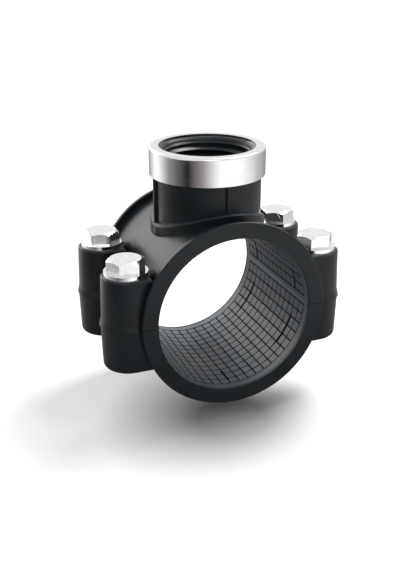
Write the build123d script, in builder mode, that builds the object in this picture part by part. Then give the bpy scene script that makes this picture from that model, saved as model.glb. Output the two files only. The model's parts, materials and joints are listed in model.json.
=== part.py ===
"""Tapping saddle: a two-part plastic pipe clamp with a threaded branch.

Two moulded halves close round a pipe and are drawn together by four bolts, whose nuts are
trapped in the lower half. Each half is lined with a rubber gasket, moulded with a square grid
that grips the pipe. A pressed steel ring keeps the branch socket from splitting when a fitting
is screwed into it.

Frame: millimetres. The origin is on the pipe axis at mid length, +Y along the pipe, +Z up the
branch, +X across the clamp.
"""

from build123d import *
import os
from math import atan2, cos, degrees, radians, sin

os.makedirs("parts", exist_ok=True)

# ---------------------------------------------------------------- driving dimensions
# Pipe and shell
pipe_radius = 31.5  # outside of a 63 mm pipe
saddle_length = 62.0  # along the pipe
gasket_thickness = 1.8
gasket_clearance = 0.05  # gasket to its pocket, all round
shell_wall = 1.7
flange_height = 2.7  # end flange above the shell
flange_thickness = 2.0
flange_edge = 0.3  # bevel of the flange's outer edges
lip_thickness = 1.2  # end lip that keeps the gasket in
lip_clearance = 0.05  # lip to the pipe
parting_gap = 0.2  # between the two moulded halves when tight
seam_gap = 0.05  # between the two gaskets

# Branch
boss_radius = 21.4
pad_radius = 23.0
pad_height = 3.4  # pad above the shell
pad_edge = 0.5
rib_reach = 1.1  # branch ribs beyond the boss
rib_thickness = 1.2
ring_bottom = 49.5
ring_height = 11.0
ring_wall = 1.55
ring_clearance = 0.05  # ring to the boss
ring_flange = 1.2  # thickness of the ring's turned-in top
ring_mouth_radius = 19.1
ring_edge = 0.9
thread_radius = 16.62  # major radius of the pipe thread, 1 in
thread_depth = 20.0
mouth_bevel = 1.9
waterway_radius = 13.0

# Bolt lugs
bolt_offset = 8.2  # bolt axes outside the pipe
bolt_inset = 13.3  # bolt axes from the saddle's ends
lug_top = 18.5
lug_parting = -1.5  # the lugs part a little below the shell
lug_reach = 8.3  # flat side of a lug from its bolt axis, towards the shell
upper_lug_radius = 10.3  # at the parting
upper_lug_top_radius = 9.7
upper_lug_edge = 0.6
lug_foot_radius = 10.9
lug_foot_height = 2.5
lower_lug_height = 17.6
lower_lug_radius = 10.5  # at the parting
lower_lug_bottom_radius = 10.0
lower_lug_edge = 1.9
lug_shell_clearance = 0.3  # upper lugs to the lower shell, below its top

# Fasteners, M8
thread_size = 8.0
hole_clearance = 0.3  # radial, bolt in its plastic hole
screw_clearance = 0.05  # radial, bolt in its nut
hex_width = 13.0  # across flats, head and nut
hex_bevel = 0.45
head_height = 4.8
bolt_length = 40.0
bolt_point = 0.8
nut_height = 6.5
nut_seat = -10.5
nut_pocket_clearance = 0.1
washer_radius = 8.5
washer_bore = 4.2
washer_thickness = 1.6

# Gasket grid and the ribs that hold the gaskets
border_angle = 6.0  # smooth border along the parting, degrees
grid_columns = 24
grid_rows = 13
grid_margin = 3.95  # grid to the saddle's ends
groove_width = 1.0
groove_depth = 0.7
tile_sink = 0.03  # flat tiles stand back from the pipe by this at their middle
outlet_border = 4.0  # smooth ring round the outlet
key_inset = 12.5  # keys from the saddle's ends
key_width = 0.9
key_height = 0.7
key_clearance = 0.25
upper_key_start = 7.0  # degrees from the parting
upper_key_arc = 14.0
lower_key_start = 20.0
lower_key_arc = 21.5
bottom_key_inset = 11.2
bottom_key_length = 7.6
pip_y = 14.0
pip_radius = 0.6

# ---------------------------------------------------------------- derived dimensions
half_length = saddle_length / 2
bolt_x = pipe_radius + bolt_offset
bolt_y = half_length - bolt_inset
key_y = half_length - key_inset
bottom_key_y = bottom_key_inset - half_length
pocket_radius = pipe_radius + gasket_thickness + gasket_clearance
gasket_radius = pipe_radius + gasket_thickness
shell_radius = pocket_radius + shell_wall
flange_radius = shell_radius + flange_height
lip_radius = pipe_radius + lip_clearance
pocket_half_length = half_length - lip_thickness
gasket_half_length = pocket_half_length - gasket_clearance
ring_inner_radius = boss_radius + ring_clearance
ring_radius = ring_inner_radius + ring_wall
ring_top = ring_bottom + ring_height
boss_top = ring_top - ring_flange
shank_radius = thread_size / 2
upper_lug_height = lug_top - lug_parting
lower_lug_top = lug_parting - parting_gap
lower_lug_bottom = lower_lug_top - lower_lug_height
head_seat = lug_top + washer_thickness
grid_length = saddle_length - 2 * grid_margin
row_pitch = (grid_length - groove_width) / grid_rows
groove_angle = degrees(groove_width / pipe_radius)
column_pitch = (180 - 2 * border_angle - groove_angle) / grid_columns
first_groove = border_angle + groove_angle / 2
tile_width = radians(column_pitch) * pipe_radius - groove_width
above = [(0, 180)]
below = [(180, 180)]
upper_key_spans = [
    (upper_key_start, upper_key_arc),
    (180 - upper_key_start - upper_key_arc, upper_key_arc),
]
lower_key_spans = [
    (180 + lower_key_start, lower_key_arc),
    (360 - lower_key_start - lower_key_arc, lower_key_arc),
]

bolt_places = {
    "front_left": (-bolt_x, -bolt_y, 26.0),
    "front_right": (bolt_x, -bolt_y, 23.0),
    "rear_left": (-bolt_x, bolt_y, 12.0),
    "rear_right": (bolt_x, bolt_y, -3.0),
}  # x, y, and how far the head's flats are turned


# ---------------------------------------------------------------- shared profiles
def wall_section():
    """Section of shell, end flanges and lips, drawn beside the pipe axis."""
    with BuildSketch() as section:
        with BuildLine():
            Polyline(
                (lip_radius, half_length),
                (flange_radius, half_length),
                (flange_radius, half_length - flange_thickness),
                (shell_radius, half_length - flange_thickness),
                (shell_radius, 0),
                (pocket_radius, 0),
                (pocket_radius, pocket_half_length),
                (lip_radius, pocket_half_length),
                close=True,
            )
        make_face()
        mirror(about=Plane.XZ)
    return section.sketch


def arc_band(inner, outer, spans):
    """Sectors of a ring round the pipe axis; each span is a start and an extent, in degrees
    from +X towards +Z."""
    with BuildSketch() as band:
        for start, extent in spans:
            with BuildLine():
                inside = CenterArc((0, 0), inner, start, extent)
                outside = CenterArc((0, 0), outer, start, extent)
                Line(inside @ 0, outside @ 0)
                Line(inside @ 1, outside @ 1)
            make_face()
    return band.sketch


def widened(spans):
    """The same sectors with the keys' clearance at each end."""
    slack = degrees(key_clearance / pipe_radius)
    return [(start - slack, extent + 2 * slack) for start, extent in spans]


def flange_rims(half):
    """The long outer edges of a half's end flanges."""
    rims = half.edges().filter_by(GeomType.CIRCLE)
    return rims.filter_by(lambda edge: abs(edge.radius - flange_radius) < 0.01)


def lug_outline(radius):
    """A round lug with a flat side towards the shell, at -X."""
    with BuildSketch() as outline:
        Circle(radius)
        with Locations((-lug_reach / 2, 0)):
            Rectangle(lug_reach, 2 * radius)
    return outline.sketch


def draft(foot, head, height):
    """Taper, in degrees, that turns one radius into another over a height."""
    return degrees(atan2(foot - head, height))


def lug_spots():
    """Bolt axes as locations whose -X side faces the shell."""
    return [
        Location((side * bolt_x, y, 0), (0, 0, turn))
        for side, turn in ((1, 0), (-1, 180))
        for y in (-bolt_y, bolt_y)
    ]


# ---------------------------------------------------------------- tools and lugs
with BuildPart() as upper_lug:
    with BuildSketch(Plane.XY.offset(lug_parting)):
        add(lug_outline(upper_lug_radius))
    extrude(
        amount=upper_lug_height, taper=draft(upper_lug_radius, upper_lug_top_radius, upper_lug_height)
    )
    chamfer(upper_lug.faces().sort_by(Axis.Z)[-1].edges(), upper_lug_edge)
    with BuildSketch(Plane.XY.offset(lug_parting)):
        Circle(lug_foot_radius)
    extrude(amount=lug_foot_height, taper=draft(lug_foot_radius, upper_lug_radius, lug_foot_height))

lower_lug_plane = Plane(origin=(0, 0, lower_lug_top), x_dir=(1, 0, 0), z_dir=(0, 0, -1))
with BuildPart() as lower_lug:
    with BuildSketch(lower_lug_plane):
        add(lug_outline(lower_lug_radius))
    extrude(
        amount=lower_lug_height, taper=draft(lower_lug_radius, lower_lug_bottom_radius, lower_lug_height)
    )
    fillet(lower_lug.faces().sort_by(Axis.Z)[0].edges(), lower_lug_edge)

# The pad is upright outside and follows the shell on top.
with BuildPart() as pad:
    with BuildSketch():
        Circle(pad_radius)
    extrude(amount=shell_radius + pad_height)
    with BuildSketch(Plane.XZ):
        Circle(shell_radius + pad_height)
    extrude(amount=pad_radius, both=True, mode=Mode.INTERSECT)
    chamfer(pad.faces().sort_by(Axis.Z)[-1].edges(), pad_edge)

# Grooves of the gasket's grid, for the upper half: the space between flat tiles on a faceted floor.
with BuildPart() as groove_net:
    with BuildSketch(Plane.XZ):
        with BuildLine():
            inside = CenterArc((0, 0), pipe_radius / 2, border_angle, 180 - 2 * border_angle)
            bends = [first_groove + column_pitch * column for column in range(1, grid_columns)]
            reach = (pipe_radius + groove_depth) / cos(radians(column_pitch / 2))
            floor = [
                (reach * cos(radians(bend)), reach * sin(radians(bend)))
                for bend in (border_angle, *bends, 180 - border_angle)
            ]
            Polyline(inside @ 0, *floor, inside @ 1)
        make_face()
    extrude(amount=grid_length / 2, both=True)
    for row in range(grid_rows):
        with BuildSketch(Plane.XZ.offset(row_pitch * (row + 0.5 - grid_rows / 2))):
            with PolarLocations(
                pipe_radius + tile_sink + groove_depth,
                grid_columns,
                first_groove + column_pitch / 2,
                column_pitch * (grid_columns - 1),
                endpoint=True,
            ):
                Rectangle(2 * groove_depth, tile_width)
    extrude(amount=(row_pitch - groove_width) / 2, both=True, mode=Mode.SUBTRACT)

with BuildPart() as upper_net:
    add(groove_net.part)
    with BuildSketch(Plane.XY):
        Circle(waterway_radius + outlet_border)
    extrude(amount=pocket_radius, mode=Mode.SUBTRACT)

# ---------------------------------------------------------------- upper half
with BuildPart() as upper_body:
    with BuildSketch(Plane.XY):
        add(wall_section())
    revolve(axis=Axis.Y)
    split(bisect_by=Plane.XY, keep=Keep.TOP)
    chamfer(flange_rims(upper_body), flange_edge)
    add(pad.part)
    with BuildSketch(Plane.XY):
        Circle(boss_radius)
    extrude(amount=boss_top)
    with BuildSketch(Plane.XY):
        Rectangle(2 * (boss_radius + rib_reach), rib_thickness)
        Rectangle(rib_thickness, 2 * (boss_radius + rib_reach))
    extrude(amount=ring_bottom)
    with Locations(*lug_spots()):
        add(upper_lug.part)
    with BuildSketch(Plane.XY.offset(lug_top)):
        with Locations(*lug_spots()):
            Circle(shank_radius + hole_clearance)
    extrude(amount=-upper_lug_height, mode=Mode.SUBTRACT)
    # Below its parting the lug stands outside the lower shell.
    with BuildSketch(Plane.XZ):
        add(arc_band(pipe_radius / 2, shell_radius + lug_shell_clearance, below))
    extrude(amount=half_length, both=True, mode=Mode.SUBTRACT)
    with BuildSketch(Plane.XZ):
        Circle(pocket_radius)
    extrude(amount=pocket_half_length, both=True, mode=Mode.SUBTRACT)
    with BuildSketch(Plane.XY.offset(boss_top)):
        Circle(thread_radius)
    extrude(amount=-thread_depth, mode=Mode.SUBTRACT)
    mouth = upper_body.edges().filter_by(GeomType.CIRCLE).filter_by(
        lambda edge: abs(edge.radius - thread_radius) < 0.01 and abs(edge.center().Z - boss_top) < 0.01
    )
    chamfer(mouth, mouth_bevel)
    with BuildSketch(Plane.XY.offset(boss_top)):
        Circle(waterway_radius)
    extrude(amount=-boss_top, mode=Mode.SUBTRACT)
    for y in (-key_y, key_y):
        with BuildSketch(Plane.XZ.offset(-y)):
            add(arc_band(pocket_radius - key_height, pocket_radius + shell_wall / 2, upper_key_spans))
    extrude(amount=key_width / 2, both=True)

with BuildPart() as upper_gasket:
    with BuildSketch(Plane.XZ):
        add(arc_band(pipe_radius, gasket_radius, above))
    extrude(amount=gasket_half_length, both=True)
    add(upper_net.part, mode=Mode.SUBTRACT)
    for y in (-key_y, key_y):
        with BuildSketch(Plane.XZ.offset(-y)):
            add(arc_band(pipe_radius / 2, pocket_radius, widened(upper_key_spans)))
    extrude(amount=key_width / 2 + key_clearance, both=True, mode=Mode.SUBTRACT)
    with BuildSketch(Plane.XY):
        Circle(waterway_radius)
    extrude(amount=pocket_radius, mode=Mode.SUBTRACT)

# ---------------------------------------------------------------- lower half
with BuildPart() as lower_body:
    with BuildSketch(Plane.XY):
        add(wall_section())
    revolve(axis=Axis.Y)
    split(bisect_by=Plane.XY.offset(-parting_gap), keep=Keep.BOTTOM)
    chamfer(flange_rims(lower_body), flange_edge)
    with Locations(*lug_spots()):
        add(lower_lug.part)
    with BuildSketch(lower_lug_plane):
        with Locations(*lug_spots()):
            Circle(shank_radius + hole_clearance)
    extrude(amount=lower_lug_height, mode=Mode.SUBTRACT)
    with BuildSketch(Plane.XY.offset(nut_seat)):
        with Locations(*lug_spots()):
            RegularPolygon(hex_width / 2 + nut_pocket_clearance, 6, major_radius=False, rotation=30)
    extrude(amount=lower_lug_bottom - nut_seat, mode=Mode.SUBTRACT)
    with BuildSketch(Plane.XZ):
        Circle(pocket_radius)
    extrude(amount=pocket_half_length, both=True, mode=Mode.SUBTRACT)
    for y in (-key_y, key_y):
        with BuildSketch(Plane.XZ.offset(-y)):
            add(arc_band(pocket_radius - key_height, pocket_radius + shell_wall / 2, lower_key_spans))
    extrude(amount=key_width / 2, both=True)
    with BuildSketch(Plane.XY.offset(-pocket_radius - shell_wall / 2)):
        with Locations((0, bottom_key_y)):
            Rectangle(key_width, bottom_key_length)
        with Locations((0, pip_y)):
            Circle(pip_radius)
    extrude(amount=key_height + shell_wall / 2)

with BuildPart() as lower_gasket:
    with BuildSketch(Plane.XZ):
        add(arc_band(pipe_radius, gasket_radius, below))
    extrude(amount=gasket_half_length, both=True)
    split(bisect_by=Plane.XY.offset(-seam_gap), keep=Keep.BOTTOM)
    add(groove_net.part, rotation=(0, 180, 0), mode=Mode.SUBTRACT)
    for y in (-key_y, key_y):
        with BuildSketch(Plane.XZ.offset(-y)):
            add(arc_band(pipe_radius / 2, pocket_radius, widened(lower_key_spans)))
    extrude(amount=key_width / 2 + key_clearance, both=True, mode=Mode.SUBTRACT)
    with BuildSketch(Plane.XY.offset(-pocket_radius)):
        with Locations((0, bottom_key_y)):
            Rectangle(key_width + 2 * key_clearance, bottom_key_length + 2 * key_clearance)
        with Locations((0, pip_y)):
            Circle(pip_radius + key_clearance)
    extrude(amount=pipe_radius / 2, mode=Mode.SUBTRACT)

# ---------------------------------------------------------------- branch ring
with BuildPart() as reinforcing_ring:
    with BuildSketch(Plane.XY.offset(ring_bottom)):
        Circle(ring_radius)
    extrude(amount=ring_height)
    rim = reinforcing_ring.edges().group_by(Axis.Z)[-1]
    with BuildSketch(Plane.XY.offset(ring_bottom)):
        Circle(ring_inner_radius)
    extrude(amount=ring_height - ring_flange, mode=Mode.SUBTRACT)
    with BuildSketch(Plane.XY.offset(ring_top)):
        Circle(ring_mouth_radius)
    extrude(amount=-ring_flange, mode=Mode.SUBTRACT)
    fillet(rim, ring_edge)


# ---------------------------------------------------------------- fasteners
def hexagon_profile(height, bevels):
    """Half section that turns the corners of a hexagon, with a bevel at the top, or at both ends."""
    corner = hex_width / 3**0.5
    flat = hex_width / 2 - hex_bevel
    rise = (corner - flat) / 3**0.5
    foot = [(flat, 0), (corner, rise)] if bevels == 2 else [(corner, 0)]
    with BuildSketch() as profile:
        with BuildLine():
            Polyline((0, 0), *foot, (corner, height - rise), (flat, height), (0, height), close=True)
        make_face()
    return profile.sketch


def axis_plane(x, y, z):
    """Upright plane whose local Y runs up a bolt's axis."""
    return Plane(origin=(x, y, z), x_dir=(1, 0, 0), z_dir=(0, -1, 0))


fasteners = {}
for place, (x, y, head_turn) in bolt_places.items():
    bolt_axis = Axis((x, y, 0), (0, 0, 1))
    with BuildPart() as bolt:
        with BuildSketch(Plane((x, y, head_seat))):
            RegularPolygon(hex_width / 2, 6, major_radius=False, rotation=head_turn + 30)
        extrude(amount=head_height)
        with BuildSketch(axis_plane(x, y, head_seat)):
            add(hexagon_profile(head_height, 1))
        revolve(axis=bolt_axis, mode=Mode.INTERSECT)
        with BuildSketch(Plane((x, y, head_seat))):
            Circle(shank_radius)
        extrude(amount=-bolt_length)
        chamfer(bolt.edges().group_by(Axis.Z)[0], bolt_point)
    with BuildPart() as washer:
        with BuildSketch(Plane((x, y, lug_top))):
            Circle(washer_radius)
            Circle(washer_bore, mode=Mode.SUBTRACT)
        extrude(amount=washer_thickness)
    with BuildPart() as nut:
        with BuildSketch(Plane((x, y, nut_seat - nut_height))):
            RegularPolygon(hex_width / 2, 6, major_radius=False, rotation=30)
        extrude(amount=nut_height)
        with BuildSketch(axis_plane(x, y, nut_seat - nut_height)):
            add(hexagon_profile(nut_height, 2))
        revolve(axis=bolt_axis, mode=Mode.INTERSECT)
        with BuildSketch(Plane((x, y, nut_seat))):
            Circle(shank_radius + screw_clearance)
        extrude(amount=-nut_height, mode=Mode.SUBTRACT)
    fasteners[f"bolt_{place}"] = bolt
    fasteners[f"washer_{place}"] = washer
    fasteners[f"nut_{place}"] = nut

# ---------------------------------------------------------------- labels and files
pieces = {
    "upper_body": upper_body,
    "lower_body": lower_body,
    "upper_gasket": upper_gasket,
    "lower_gasket": lower_gasket,
    "reinforcing_ring": reinforcing_ring,
    **fasteners,
}
for name, piece in pieces.items():
    piece.part.label = name
    export_step(piece.part, f"parts/{name}.step")
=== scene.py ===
"""Looks of the tapping saddle: its four finishes, the pipe thread and the step in the branch's
mouth, the bolts' rolled threads, the gaskets' fine grid, and a white studio.

Lengths are in millimetres until the function mm() turns them to metres.
"""

import json
import math

import bmesh
import bpy
from mathutils import Matrix, Vector


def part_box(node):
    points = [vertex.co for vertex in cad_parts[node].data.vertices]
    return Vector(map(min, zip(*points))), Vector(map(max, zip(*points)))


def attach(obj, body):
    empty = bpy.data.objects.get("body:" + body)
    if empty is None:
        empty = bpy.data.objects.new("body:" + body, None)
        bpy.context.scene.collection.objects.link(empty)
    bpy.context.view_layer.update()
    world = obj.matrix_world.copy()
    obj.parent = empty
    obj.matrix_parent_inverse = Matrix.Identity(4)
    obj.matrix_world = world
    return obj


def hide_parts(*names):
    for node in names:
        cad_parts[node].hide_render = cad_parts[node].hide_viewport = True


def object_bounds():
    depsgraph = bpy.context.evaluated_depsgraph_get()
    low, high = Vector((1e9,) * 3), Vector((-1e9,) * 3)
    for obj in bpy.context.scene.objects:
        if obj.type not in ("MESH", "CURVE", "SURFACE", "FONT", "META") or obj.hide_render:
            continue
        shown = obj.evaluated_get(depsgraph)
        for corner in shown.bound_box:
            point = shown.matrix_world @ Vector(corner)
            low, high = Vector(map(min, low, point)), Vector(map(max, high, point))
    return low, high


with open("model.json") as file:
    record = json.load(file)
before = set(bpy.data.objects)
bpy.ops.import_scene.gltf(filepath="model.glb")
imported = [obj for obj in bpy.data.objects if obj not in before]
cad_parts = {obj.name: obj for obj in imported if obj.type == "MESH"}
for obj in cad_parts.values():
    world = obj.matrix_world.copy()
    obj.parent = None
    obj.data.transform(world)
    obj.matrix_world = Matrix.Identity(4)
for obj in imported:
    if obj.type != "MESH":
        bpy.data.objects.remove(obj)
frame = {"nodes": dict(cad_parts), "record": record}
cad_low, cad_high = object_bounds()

nodes = frame["nodes"]
LUG_PLACES = ("front_left", "front_right", "rear_left", "rear_right")


def mm(length):
    """Millimetres to Blender's metres."""
    return length / 1000


def named(entries, name):
    """The entry with this name in one of the record's lists."""
    return next(entry for entry in entries if entry["name"] == name)


# ---------------------------------------------------------------- sizes
# Read from the frame
outlet_sizes = named(frame["record"]["mounts"], "outlet")["dims"]
bore_radius = outlet_sizes["r_mm"]
bore_length = outlet_sizes["length_mm"]
pipe_radius = named(frame["record"]["mounts"], "pipe_bore")["dims"]["r_mm"]
clamp_opening = named(frame["record"]["behaviour"]["joints"], "clamp_opening")

# Branch, with a pipe thread of 11 turns to the inch below its bevelled mouth
RING_FLANGE = 1.2  # turned-in top of the steel ring, which lies on the branch's end
MOUTH_BEVEL = 1.9
# Outline of the step in the mouth, (out from the bore, up from the end), as shares of the bevel
MOUTH_STEP = [(0.78, -0.2), (0.5, -0.24), (0.36, -0.62), (0.62, -0.62)]
MOUTH_STEP_SIDES = 128
PIPE_PITCH = 25.4 / 11
PIPE_THREAD_DEPTH = 1.48
PIPE_RUN_OUT = 0.45  # pitches from the middle of the top ridge to the bevel
PIPE_THREAD_STEPS = 72  # faces in one turn
branch_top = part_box("reinforcing_ring")[1].z * 1000 - RING_FLANGE

# Bolts, M8 x 40, with a rolled thread that ends in a bevelled point
BOLT_PITCH = 1.25
BOLT_RADIUS = 4.0
BOLT_THREAD_DEPTH = 0.68
THREADED_LENGTH = 22.0
POINT_LENGTH = 0.6
POINT_BEVEL = 0.4  # how much smaller the point's radius is than the thread's root
BOLT_THREAD_STEPS = 32
BOLT_SIDES = 36

# Any thread
RIDGE_FOOT = 0.98  # share of the pitch that a ridge's foot covers, so that its turns don't meet
RIDGE_CREST = 0.125  # and that its flat crest covers
RIDGE_SUNK = 0.05  # how deep the foot stands in what carries it

# Gaskets: the solids' grooves are wide, for few faces, and the real ones are half as wide
GRID_COLUMNS = 24
GRID_ROWS = 13
GRID_MARGIN = 3.95  # from the saddle's ends to the grid
GRID_BORDER = 6.0  # degrees, from the parting to the first groove in the solids
FINE_BORDER = 2.6  # degrees, as drawn here
GROOVE_DEPTH = 0.7
SOLID_GROOVE = 1.0
FINE_GROOVE = 0.55
KEPT_MIDDLE = 45.0  # degrees either side of straight up or down that keep their place
KEY_Y = 18.5  # the bodies' keys, from the middle of the saddle's length
KEY_REACH = 1.1  # the slots for the keys keep their width within this of the keys' middle
KEY_SPANS = {"upper": (6.3, 21.7), "lower": (19.3, 42.2)}  # degrees from the parting
SEAM_BEAD = 0.4  # radius of the bead on the lower gasket's edges
BEAD_SIDES = 16
GROOVE_SHADE_START = 0.12  # below the tiles' faces, where the painted shade in the grooves begins
GROOVE_SHADE_FULL = 0.25  # and where that painted shade is full black
EDGE_SLACK = 0.1  # millimetres or degrees, for vertices that lie on the grid's edge
BORDER_SLACK = 0.3  # degrees, for vertices that lie on the border's edge
FLOOR_SLACK = 0.15  # how much deeper than its flats the faceted groove floor's corners lie

WELD_DISTANCE = 0.001  # vertices of a CAD mesh that are closer than this are one


# ---------------------------------------------------------------- colour and node helpers
def srgb(code):
    """A hex sRGB colour as linear RGBA."""
    parts = [int(code[i : i + 2], 16) / 255 for i in (1, 3, 5)]
    return [c / 12.92 if c <= 0.04045 else ((c + 0.055) / 1.055) ** 2.4 for c in parts] + [1.0]


def add_node(tree, kind, settings=None, links=None, **values):
    """A node with its properties, its input values by name, and links {input: (node, output)}."""
    node = tree.nodes.new(kind)
    for name, value in (settings or {}).items():
        setattr(node, name, value)
    for name, value in values.items():
        node.inputs[name.replace("_", " ")].default_value = value
    for name, (source, output) in (links or {}).items():
        tree.links.new(source.outputs[output], node.inputs[name])
    return node


def new_material(name):
    """An empty material and its node tree."""
    material = bpy.data.materials.new(name)
    material.use_nodes = True
    material.node_tree.nodes.clear()
    return material, material.node_tree


def scale_for(size_mm):
    """Texture scale on Object coordinates, in metres, for features of that size."""
    return 1000 / size_mm


def colour_ramp(tree, source, stops):
    """Ramp from a source (node, output) through stops [(position, hex)]."""
    ramp = add_node(tree, "ShaderNodeValToRGB", links={"Fac": source})
    elements = ramp.color_ramp.elements
    while len(elements) < len(stops):
        elements.new(0.5)
    for element, (position, code) in zip(elements, stops):
        element.position = position
        element.color = srgb(code)
    return ramp


def finish_material(tree, shader):
    """Ends a material with its shader."""
    add_node(tree, "ShaderNodeOutputMaterial", links={"Surface": (shader, 0)})


# ---------------------------------------------------------------- materials
def moulded_polypropylene():
    """Black polypropylene, injection moulded: a satin skin from the spark-eroded tool, with a soft
    broad sheen, faint flow marks and edges that the tool leaves very slightly round."""
    material, tree = new_material("moulded_polypropylene")
    coords = add_node(tree, "ShaderNodeTexCoord")
    flow = add_node(tree, "ShaderNodeTexNoise", links={"Vector": (coords, "Object")},
                    Scale=scale_for(9.0), Detail=3.0, Roughness=0.5)
    # The tool's grain is about 0.1 mm, and is drawn coarser so that it shows.
    grain = add_node(tree, "ShaderNodeTexNoise", links={"Vector": (coords, "Object")},
                     Scale=scale_for(0.35), Detail=2.0, Roughness=0.6)
    colour = colour_ramp(tree, (flow, "Fac"), [(0.35, "#191e21"), (0.65, "#1e2428")])
    gloss = add_node(tree, "ShaderNodeMapRange", links={"Value": (flow, "Fac")},
                     From_Min=0.3, From_Max=0.7, To_Min=0.30, To_Max=0.36)
    edges = add_node(tree, "ShaderNodeBevel", {"samples": 4}, Radius=mm(0.25))
    bump = add_node(tree, "ShaderNodeBump",
                    links={"Height": (grain, "Fac"), "Normal": (edges, "Normal")},
                    Strength=0.1, Distance=mm(0.05))
    shader = add_node(tree, "ShaderNodeBsdfPrincipled",
                      links={"Base Color": (colour, "Color"), "Roughness": (gloss, "Result"),
                             "Normal": (bump, "Normal")}, IOR=1.49, Specular_IOR_Level=0.22)
    finish_material(tree, shader)
    return material


def moulded_rubber():
    """Black EPDM rubber filled with chalk, moulded: matt and greyer than the plastic on its raised
    tiles, with painted shade that turns it black down in the grooves."""
    material, tree = new_material("moulded_rubber")
    coords = add_node(tree, "ShaderNodeTexCoord")
    bloom = add_node(tree, "ShaderNodeTexNoise", links={"Vector": (coords, "Object")},
                     Scale=scale_for(6.0), Detail=4.0, Roughness=0.6)
    # The rubber's grain is finer still, and is drawn coarser so that it shows.
    grain = add_node(tree, "ShaderNodeTexNoise", links={"Vector": (coords, "Object")},
                     Scale=scale_for(0.3), Detail=2.0, Roughness=0.6)
    tile_tone = colour_ramp(tree, (bloom, "Fac"), [(0.3, "#50565c"), (0.7, "#61686e")])
    across = add_node(tree, "ShaderNodeMapping", links={"Vector": (coords, "Object")},
                      Scale=(1.0, 0.0, 1.0))
    from_axis = add_node(tree, "ShaderNodeVectorMath", {"operation": "LENGTH"},
                         {0: (across, "Vector")})
    # Painted shade: below the tiles' faces the colour goes to near black, and the rubber rougher,
    # down in the grooves
    depth = add_node(tree, "ShaderNodeMapRange", links={"Value": (from_axis, "Value")},
                     From_Min=mm(pipe_radius + GROOVE_SHADE_START),
                     From_Max=mm(pipe_radius + GROOVE_SHADE_FULL))
    colour = add_node(tree, "ShaderNodeMix", {"data_type": "RGBA"})
    tree.links.new(depth.outputs["Result"], colour.inputs["Factor"])
    tree.links.new(tile_tone.outputs["Color"], colour.inputs["A"])
    colour.inputs["B"].default_value = srgb("#08090a")
    bump = add_node(tree, "ShaderNodeBump", links={"Height": (grain, "Fac")},
                    Strength=0.2, Distance=mm(0.05))
    dull = add_node(tree, "ShaderNodeMapRange", links={"Value": (depth, "Result")},
                    To_Min=0.42, To_Max=1.0)
    shader = add_node(tree, "ShaderNodeBsdfPrincipled",
                      links={"Base Color": (colour, "Result"), "Roughness": (dull, "Result"),
                             "Normal": (bump, "Normal")}, IOR=1.5, Specular_IOR_Level=0.4)
    finish_material(tree, shader)
    return material


def polished_stainless():
    """Stainless steel strip, pressed and polished: near mirror, with faint polishing lines round
    the ring."""
    material, tree = new_material("polished_stainless")
    coords = add_node(tree, "ShaderNodeTexCoord")
    stretch = add_node(tree, "ShaderNodeMapping", links={"Vector": (coords, "Object")},
                       Scale=(0.04, 0.04, 1.0))
    # The lines that fine grit leaves are under 0.05 mm wide, and are drawn coarser so that they
    # show.
    lines = add_node(tree, "ShaderNodeTexNoise", links={"Vector": (stretch, "Vector")},
                     Scale=scale_for(0.5), Detail=3.0, Roughness=0.6)
    smears = add_node(tree, "ShaderNodeTexNoise", links={"Vector": (coords, "Object")},
                      Scale=scale_for(8.0), Detail=3.0, Roughness=0.5)
    colour = colour_ramp(tree, (smears, "Fac"), [(0.3, "#dad7d9"), (0.7, "#e3e1e2")])
    gloss = add_node(tree, "ShaderNodeMapRange", links={"Value": (lines, "Fac")},
                     From_Min=0.3, From_Max=0.7, To_Min=0.12, To_Max=0.2)
    bump = add_node(tree, "ShaderNodeBump", links={"Height": (lines, "Fac")},
                    Strength=0.04, Distance=mm(0.05))
    shader = add_node(tree, "ShaderNodeBsdfPrincipled",
                      links={"Base Color": (colour, "Color"), "Roughness": (gloss, "Result"),
                             "Normal": (bump, "Normal")}, Metallic=1.0)
    finish_material(tree, shader)
    return material


def bright_zinc():
    """Steel plated with bright zinc: a soft silver sheen over the forged and rolled surface, a
    little uneven from the barrel."""
    material, tree = new_material("bright_zinc")
    coords = add_node(tree, "ShaderNodeTexCoord")
    patches = add_node(tree, "ShaderNodeTexNoise", links={"Vector": (coords, "Object")},
                       Scale=scale_for(1.4), Detail=4.0, Roughness=0.65)
    # The pits under the plating are about 0.2 mm, and are drawn coarser so that they show.
    pits = add_node(tree, "ShaderNodeTexNoise", links={"Vector": (coords, "Object")},
                    Scale=scale_for(0.6), Detail=3.0, Roughness=0.7)
    colour = colour_ramp(tree, (patches, "Fac"), [(0.35, "#dededf"), (0.65, "#eeeeee")])
    gloss = add_node(tree, "ShaderNodeMapRange", links={"Value": (patches, "Fac")},
                     From_Min=0.3, From_Max=0.7, To_Min=0.1, To_Max=0.17)
    bump = add_node(tree, "ShaderNodeBump", links={"Height": (pits, "Fac")},
                    Strength=0.04, Distance=mm(0.06))
    shader = add_node(tree, "ShaderNodeBsdfPrincipled",
                      links={"Base Color": (colour, "Color"), "Roughness": (gloss, "Result"),
                             "Normal": (bump, "Normal")}, Metallic=1.0)
    finish_material(tree, shader)
    return material


plastic = moulded_polypropylene()
rubber = moulded_rubber()
stainless = polished_stainless()
zinc = bright_zinc()


def dress(node, material):
    """Puts one finish on a CAD node."""
    node.data.materials.clear()
    node.data.materials.append(material)


for name, node in nodes.items():
    if name.endswith("body"):
        dress(node, plastic)
    elif name.endswith("gasket"):
        dress(node, rubber)
    elif name == "reinforcing_ring":
        dress(node, stainless)
    else:
        dress(node, zinc)


# ---------------------------------------------------------------- new pieces
def piece_from(bm, name, material, body):
    """Turns a finished bmesh into a piece that rides on a body."""
    mesh = bpy.data.meshes.new(name)
    bm.to_mesh(mesh)
    bm.free()
    mesh.materials.append(material)
    piece = bpy.data.objects.new(name, mesh)
    bpy.context.scene.collection.objects.link(piece)
    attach(piece, body)
    return piece


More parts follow.
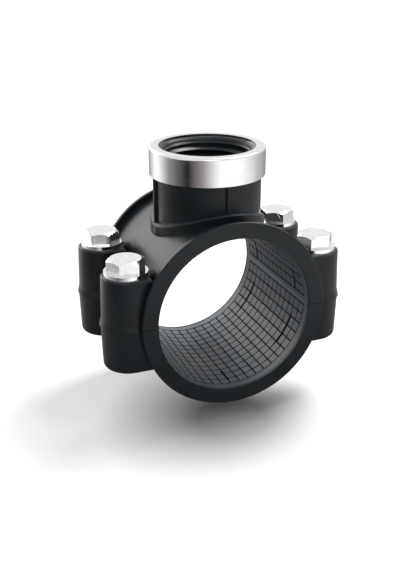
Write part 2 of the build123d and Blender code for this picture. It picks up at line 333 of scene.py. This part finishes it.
def closed_outline(bm, centre, points):
    """Vertices and edges of a closed outline beside an upright axis, from (radius, height) in
    millimetres."""
    verts = [bm.verts.new((centre.x + mm(r), centre.y, mm(height))) for r, height in points]
    edges = [bm.edges.new((vert, verts[(i + 1) % len(verts)])) for i, vert in enumerate(verts)]
    return verts, edges


def helical_ridge(bm, centre, root_radius, crest_radius, pitch, low, high, steps):
    """Thread ridge wound up an upright axis between two heights. Radii, pitch and heights are in
    millimetres, and steps are the faces in one turn."""
    turns = (high - low) / pitch
    half_foot = pitch * RIDGE_FOOT / 2
    half_crest = pitch * RIDGE_CREST / 2
    verts, edges = closed_outline(bm, centre, [
        (root_radius, low - half_foot),
        (crest_radius, low - half_crest),
        (crest_radius, low + half_crest),
        (root_radius, low + half_foot),
    ])
    bm.faces.new(verts)
    count = round(turns * steps)
    spun = bmesh.ops.spin(
        bm, geom=edges, cent=(centre.x, centre.y, 0), axis=(0, 0, 1), angle=2 * math.pi * turns,
        dvec=(0, 0, mm((high - low) / count)), steps=count,
    )
    last = [v for v in spun["geom_last"] if isinstance(v, bmesh.types.BMVert)]
    bmesh.ops.contextual_create(bm, geom=last)


def branch_thread():
    """The parallel pipe thread in the branch, as a ridge that stands inward from the plain bore."""
    bm = bmesh.new()
    bevel_foot = branch_top - MOUTH_BEVEL
    helical_ridge(bm, Vector((0, 0, 0)), bore_radius + RIDGE_SUNK, bore_radius - PIPE_THREAD_DEPTH,
                  PIPE_PITCH, bevel_foot - bore_length + PIPE_PITCH / 2,
                  bevel_foot - PIPE_PITCH * PIPE_RUN_OUT, steps=PIPE_THREAD_STEPS)
    bmesh.ops.recalc_face_normals(bm, faces=bm.faces)
    piece_from(bm, "branch_thread", plastic, "upper_half")


def mouth_step():
    """The small step moulded half way down the bevel of the branch's mouth."""
    bm = bmesh.new()
    verts, edges = closed_outline(bm, Vector((0, 0, 0)), [
        (bore_radius + MOUTH_BEVEL * out, branch_top + MOUTH_BEVEL * up) for out, up in MOUTH_STEP
    ])
    bmesh.ops.spin(bm, geom=verts + edges, cent=(0, 0, 0), axis=(0, 0, 1), angle=2 * math.pi,
                   steps=MOUTH_STEP_SIDES, use_merge=True)
    bmesh.ops.recalc_face_normals(bm, faces=bm.faces)
    piece_from(bm, "mouth_step", plastic, "upper_half")


def welded_copy(node):
    """A CAD node's mesh as a bmesh whose loose triangles are joined."""
    bm = bmesh.new()
    bm.from_mesh(node.data)
    bmesh.ops.remove_doubles(bm, verts=bm.verts, dist=mm(WELD_DISTANCE))
    return bm


def narrowed(place, first, pitch, wide, fine):
    """Moves a place as repeated grooves narrow from wide to fine, and the tiles between them
    widen. The first groove's middle is given."""
    groove = round((place - first) / pitch)
    off = place - first - groove * pitch
    if abs(off) <= wide / 2:
        off *= fine / wide
    else:
        to_middle = (pitch / 2 - abs(off)) * (pitch - fine) / (pitch - wide)
        off = math.copysign(pitch / 2 - to_middle, off)
    return first + groove * pitch + off


def in_fine_grid(half, angle, y):
    """Where a place on the solid gasket's grid lies when its grooves are half as wide. Angles
    are in degrees from the parting."""
    groove_angle = math.degrees(SOLID_GROOVE / pipe_radius)
    column_pitch = (180 - 2 * GRID_BORDER - groove_angle) / GRID_COLUMNS
    grid_half = cad_high.y * 1000 - GRID_MARGIN
    row_pitch = (2 * grid_half - SOLID_GROOVE) / GRID_ROWS
    grid_low, grid_high = GRID_BORDER - EDGE_SLACK, 180 - GRID_BORDER + EDGE_SLACK
    if not (grid_low < angle < grid_high and abs(y) < grid_half + EDGE_SLACK):
        return angle, y
    angle = narrowed(angle, GRID_BORDER + groove_angle / 2, column_pitch, groove_angle,
                     groove_angle * FINE_GROOVE / SOLID_GROOVE)
    span_low, span_high = KEY_SPANS[half]
    from_parting = min(angle, 180 - angle)
    beside_key = abs(abs(y) - KEY_Y) < KEY_REACH and span_low < from_parting < span_high
    if not beside_key:
        y = narrowed(y, SOLID_GROOVE / 2 - grid_half, row_pitch, SOLID_GROOVE, FINE_GROOVE)
    return angle, y


def spread_to_border(angle):
    """Widens the outer parts of the grid, so that the border along the parting is narrow."""
    from_middle = abs(angle - 90)
    if from_middle > 90 - GRID_BORDER - BORDER_SLACK:
        from_middle = 90 - (90 - from_middle) * FINE_BORDER / GRID_BORDER
    elif from_middle > KEPT_MIDDLE:
        spread = (90 - FINE_BORDER - KEPT_MIDDLE) / (90 - GRID_BORDER - KEPT_MIDDLE)
        from_middle = KEPT_MIDDLE + (from_middle - KEPT_MIDDLE) * spread
    return 90 + math.copysign(from_middle, angle - 90)


def fine_gasket(half):
    """The gasket with its grid drawn finer: grooves half as wide, and a narrow border along the
    parting. The slots round the body's keys keep their width and read as black bars, and the
    lower gasket has a bead along its edges."""
    name = f"{half}_gasket"
    bm = welded_copy(nodes[name])
    for vert in bm.verts:
        radius = math.hypot(vert.co.x, vert.co.z)
        if radius > mm(pipe_radius + GROOVE_DEPTH + FLOOR_SLACK):
            continue
        angle = math.degrees(math.atan2(abs(vert.co.z), vert.co.x))
        angle, y = in_fine_grid(half, angle, vert.co.y * 1000)
        turned = math.radians(spread_to_border(angle))
        height = math.copysign(radius * math.sin(turned), vert.co.z)
        vert.co = (radius * math.cos(turned), mm(y), height)
    if half == "lower":
        low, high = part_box(name)
        along = Matrix.Rotation(math.radians(90), 4, "X")
        for side in (-1, 1):
            edge = (side * mm(pipe_radius + SEAM_BEAD / 4), 0, high.z - mm(SEAM_BEAD))
            bmesh.ops.create_cone(
                bm, cap_ends=True, segments=BEAD_SIDES, radius1=mm(SEAM_BEAD),
                radius2=mm(SEAM_BEAD), depth=high.y - low.y,
                matrix=Matrix.Translation(edge) @ along,
            )
    bmesh.ops.recalc_face_normals(bm, faces=bm.faces)
    for face in bm.faces:
        face.smooth = False
    gasket = piece_from(bm, f"fine_{name}", rubber, f"{half}_half")
    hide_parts(name)


def upright_rod(bm, centre, low, length, foot_radius, top_radius):
    """Part of a bolt's round core, in millimetres but for its centre."""
    bmesh.ops.create_cone(
        bm, cap_ends=True, segments=BOLT_SIDES, radius1=mm(foot_radius), radius2=mm(top_radius),
        depth=mm(length), matrix=Matrix.Translation((centre.x, centre.y, mm(low + length / 2))),
    )


def threaded_bolt(place):
    """A bolt's head and plain shank from the CAD solid, and a rolled thread below them."""
    low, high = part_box(f"bolt_{place}")
    centre = (low + high) / 2
    tip = low.z * 1000
    thread_low, thread_top = tip + POINT_LENGTH, tip + THREADED_LENGTH
    bm = welded_copy(nodes[f"bolt_{place}"])
    cut = bmesh.ops.bisect_plane(
        bm, geom=bm.verts[:] + bm.edges[:] + bm.faces[:], plane_co=(0, 0, mm(thread_top)),
        plane_no=(0, 0, -1), clear_outer=True,
    )
    rim = [edge for edge in cut["geom_cut"] if isinstance(edge, bmesh.types.BMEdge)]
    bmesh.ops.holes_fill(bm, edges=rim)
    root = BOLT_RADIUS - BOLT_THREAD_DEPTH
    upright_rod(bm, centre, tip, POINT_LENGTH, root - POINT_BEVEL, root)
    upright_rod(bm, centre, thread_low, THREADED_LENGTH - POINT_LENGTH, root, root)
    helical_ridge(bm, Vector((centre.x, centre.y, 0)), root - RIDGE_SUNK, BOLT_RADIUS, BOLT_PITCH,
                  thread_low + BOLT_PITCH / 2, thread_top - BOLT_PITCH / 4,
                  steps=BOLT_THREAD_STEPS)
    bmesh.ops.recalc_face_normals(bm, faces=bm.faces)
    bolt = piece_from(bm, f"threaded_bolt_{place}", zinc, f"{place}_bolt")
    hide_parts(f"bolt_{place}")


branch_thread()
mouth_step()
for half in ("upper", "lower"):
    fine_gasket(half)
for place in LUG_PLACES:
    threaded_bolt(place)

# ---------------------------------------------------------------- floor, light and camera
# Painted reflection: the light and dark sides of a studio that isn't in the scene, which gloss sees
# in the floor's glow, as shares of a turn from the back wall towards the left.
PAINTED_REFLECTION_RAMP = [
    (0.03, "#9c9c9c"),
    (0.11, "#ffffff"),
    (0.14, "#ffffff"),
    (0.22, "#8f8f8f"),
    (0.28, "#5d5d5d"),
    (0.34, "#0c0b0b"),
    (0.42, "#8f8b8f"),
    (0.51, "#ffffff"),
    (0.62, "#ffffff"),
    (0.70, "#dcdcdc"),
    (0.74, "#c1c1c1"),
    (0.82, "#a0a0a0"),
    (0.88, "#7c7c7c"),
    (0.96, "#808080"),
]
FLOOR_SIZE = 6.0  # metres either way
FLOOR_GAP = 0.3  # from the floor up to the lower half when the clamp is open
floor_height = cad_low.z - clamp_opening["range_m"][1] - mm(FLOOR_GAP)
PAINTED_SHADOW_MIDDLE = (mm(-2), mm(-33))  # middle of the painted shadow: the floor's added white is least here, so the saddle's shadow is darkest here

# How the floor changes between two distances, in metres: the white that is added for the camera,
#  away from the painted shadow's middle and far off, then the strength of the painted reflection in
#  it, dimmed near the saddle as painted shade, and the share of plain paper in that reflection
WHITER_PAST_PAINTED_SHADOW = {"From_Min": 0.014, "From_Max": 0.055, "To_Min": 0.0, "To_Max": 0.55}
WHITER_TO_HORIZON = {"From_Min": 0.3, "From_Max": 1.2, "To_Min": 0.0, "To_Max": 0.6}
PAINTED_REFLECTION_STRENGTH = {"From_Min": 0.09, "From_Max": 0.17, "To_Min": 0.4, "To_Max": 1.4}
PAINTED_REFLECTION_PAPER = {"From_Min": 0.18, "From_Max": 0.215, "To_Min": 0.6, "To_Max": 0.0}

LAMP_AIM = Vector((0, 0, mm(10)))  # middle of the saddle's height
CAMERA_AZIMUTH = -21.33  # degrees from straight in front, towards the left
CAMERA_ELEVATION = 22.82
CAMERA_DISTANCE = 352.6
CAMERA_SENSOR = 36.0
CAMERA_LENS = 53.3
CAMERA_SHIFT = (-0.0127, 0.0042)  # shares of the frame's longer side
CLIP_START = 0.01  # metres


def studio_floor():
    """Pale floor that keeps the shadow, and can't be seen from below. A painted shadow lies in
    front of the saddle, where less white is added for the camera. Gloss and metal see a painted
    reflection of a studio's light and dark sides in it, as a glow that changes with the direction,
    dims as painted shade close to the saddle and turns paler near it."""
    bm = bmesh.new()
    bmesh.ops.create_grid(bm, x_segments=1, y_segments=1, size=FLOOR_SIZE)
    mesh = bpy.data.meshes.new("studio_floor")
    bm.to_mesh(mesh)
    bm.free()
    mesh.transform(Matrix.Translation((0, 0, floor_height)))
    material, tree = new_material("white_paper")
    path = add_node(tree, "ShaderNodeLightPath")
    diffuse = add_node(tree, "ShaderNodeBsdfDiffuse", Color=srgb("#c8c8c8"))
    coords = add_node(tree, "ShaderNodeTexCoord")
    away = add_node(tree, "ShaderNodeVectorMath", {"operation": "LENGTH"},
                    {0: (coords, "Object")})
    # Painted shadow: the white added for the camera grows with the distance from this middle, so a
    # shadow is painted on the floor round it, over the real one
    from_painted_shadow = add_node(tree, "ShaderNodeMapping", links={"Vector": (coords, "Object")},
                          Location=(-PAINTED_SHADOW_MIDDLE[0], -PAINTED_SHADOW_MIDDLE[1], -floor_height))
    past_painted_shadow = add_node(tree, "ShaderNodeVectorMath", {"operation": "LENGTH"},
                          {0: (from_painted_shadow, "Vector")})
    white_round_painted_shadow = add_node(tree, "ShaderNodeMapRange", links={"Value": (past_painted_shadow, "Value")},
                      **WHITER_PAST_PAINTED_SHADOW)
    horizon = add_node(tree, "ShaderNodeMapRange", links={"Value": (away, "Value")},
                       **WHITER_TO_HORIZON)
    paler = add_node(tree, "ShaderNodeMath", {"operation": "ADD"},
                     {0: (white_round_painted_shadow, "Result"), 1: (horizon, "Result")})
    top_up = add_node(tree, "ShaderNodeMath", {"operation": "MULTIPLY"},
                      {0: (path, "Is Camera Ray"), 1: (paler, "Value")})
    glow = add_node(tree, "ShaderNodeEmission", links={"Strength": (top_up, 0)})
    paper = add_node(tree, "ShaderNodeAddShader", links={0: (diffuse, 0), 1: (glow, 0)})
    # Painted reflection: for gloss rays only, the floor glows with light and dark sides by
    # direction, dimmed as painted shade near the saddle and paler close to it
    turned = add_node(tree, "ShaderNodeMapping", links={"Vector": (coords, "Object")},
                      Rotation=(0, 0, math.radians(90)))
    sweep = add_node(tree, "ShaderNodeTexGradient", {"gradient_type": "RADIAL"},
                     {"Vector": (turned, "Vector")})
    painted_walls = colour_ramp(tree, (sweep, "Color"), PAINTED_REFLECTION_RAMP)
    strength = add_node(tree, "ShaderNodeMapRange", links={"Value": (away, "Value")},
                        **PAINTED_REFLECTION_STRENGTH)
    paleness = add_node(tree, "ShaderNodeMapRange", links={"Value": (away, "Value")},
                        **PAINTED_REFLECTION_PAPER)
    painted_walls_and_paper = add_node(tree, "ShaderNodeMix", {"data_type": "RGBA"})
    tree.links.new(paleness.outputs["Result"], painted_walls_and_paper.inputs["Factor"])
    tree.links.new(painted_walls.outputs["Color"], painted_walls_and_paper.inputs["A"])
    painted_walls_and_paper.inputs["B"].default_value = srgb("#ececec")
    painted_reflection = add_node(tree, "ShaderNodeEmission",
                         links={"Color": (painted_walls_and_paper, "Result"),
                                "Strength": (strength, "Result")})
    seen = add_node(tree, "ShaderNodeMixShader",
                    links={0: (path, "Is Glossy Ray"), 1: (paper, 0), 2: (painted_reflection, 0)})
    facing = add_node(tree, "ShaderNodeNewGeometry")
    clear = add_node(tree, "ShaderNodeBsdfTransparent")
    shader = add_node(tree, "ShaderNodeMixShader",
                      links={0: (facing, "Backfacing"), 1: (seen, 0), 2: (clear, 0)})
    finish_material(tree, shader)
    mesh.materials.append(material)
    floor = bpy.data.objects.new("studio_floor", mesh)
    bpy.context.scene.collection.objects.link(floor)


def studio_world():
    """Even soft light, and plain white where the camera, gloss or glass sees past the floor."""
    world = bpy.data.worlds.new("studio_world")
    bpy.context.scene.world = world
    world.use_nodes = True
    tree = world.node_tree
    tree.nodes.clear()
    path = add_node(tree, "ShaderNodeLightPath")
    direct = add_node(tree, "ShaderNodeMath", {"operation": "MAXIMUM"},
                      {0: (path, "Is Camera Ray"), 1: (path, "Is Transmission Ray")})
    seen = add_node(tree, "ShaderNodeMath", {"operation": "MAXIMUM"},
                    {0: (direct, 0), 1: (path, "Is Glossy Ray")})
    soft = add_node(tree, "ShaderNodeBackground", Color=srgb("#ffffff"), Strength=0.4)
    white = add_node(tree, "ShaderNodeBackground", Color=srgb("#ffffff"), Strength=1.0)
    mix = add_node(tree, "ShaderNodeMixShader", links={0: (seen, 0), 1: (soft, 0), 2: (white, 0)})
    add_node(tree, "ShaderNodeOutputWorld", links={"Surface": (mix, 0)})


def soft_box(name, place, size, watts, only_gloss=False):
    """Area lamp, metres, aimed at the middle of the saddle. A lamp that is only for gloss lights
    nothing else, as a white card held beside the work."""
    lamp = bpy.data.lights.new(name, "AREA")
    lamp.shape = "RECTANGLE"
    lamp.size, lamp.size_y = size
    lamp.energy = watts
    holder = bpy.data.objects.new(name, lamp)
    holder.location = place
    holder.rotation_mode = "QUATERNION"
    holder.rotation_quaternion = (LAMP_AIM - Vector(place)).to_track_quat("-Z", "Y")
    holder.visible_camera = False
    holder.visible_diffuse = not only_gloss
    bpy.context.scene.collection.objects.link(holder)


def studio_camera():
    """Camera in front, a little to the left and above, that looks past the saddle's middle."""
    azimuth, elevation = math.radians(CAMERA_AZIMUTH), math.radians(CAMERA_ELEVATION)
    level = math.cos(elevation)
    back = Vector((math.sin(azimuth) * level, -math.cos(azimuth) * level, math.sin(elevation)))
    lens = bpy.data.cameras.new("studio_camera")
    lens.sensor_width = CAMERA_SENSOR
    lens.lens = CAMERA_LENS
    lens.shift_x, lens.shift_y = CAMERA_SHIFT
    lens.clip_start = CLIP_START
    camera = bpy.data.objects.new("studio_camera", lens)
    camera.location = back * mm(CAMERA_DISTANCE)
    camera.rotation_mode = "QUATERNION"
    camera.rotation_quaternion = (-back).to_track_quat("-Z", "Y")
    bpy.context.scene.collection.objects.link(camera)
    bpy.context.scene.camera = camera


studio_floor()
studio_world()
soft_box("overhead_soft_box", (0.56, 0.22, 0.88), (0.5, 0.5), 14.0)
soft_box("front_soft_box", (-0.2, -0.9, 0.6), (0.5, 0.5), 0.7)
soft_box("back_card", (-0.42, 1.03, 0.45), (1.0, 0.8), 6.5, only_gloss=True)
studio_camera()
bpy.context.scene.view_settings.view_transform = "Standard"
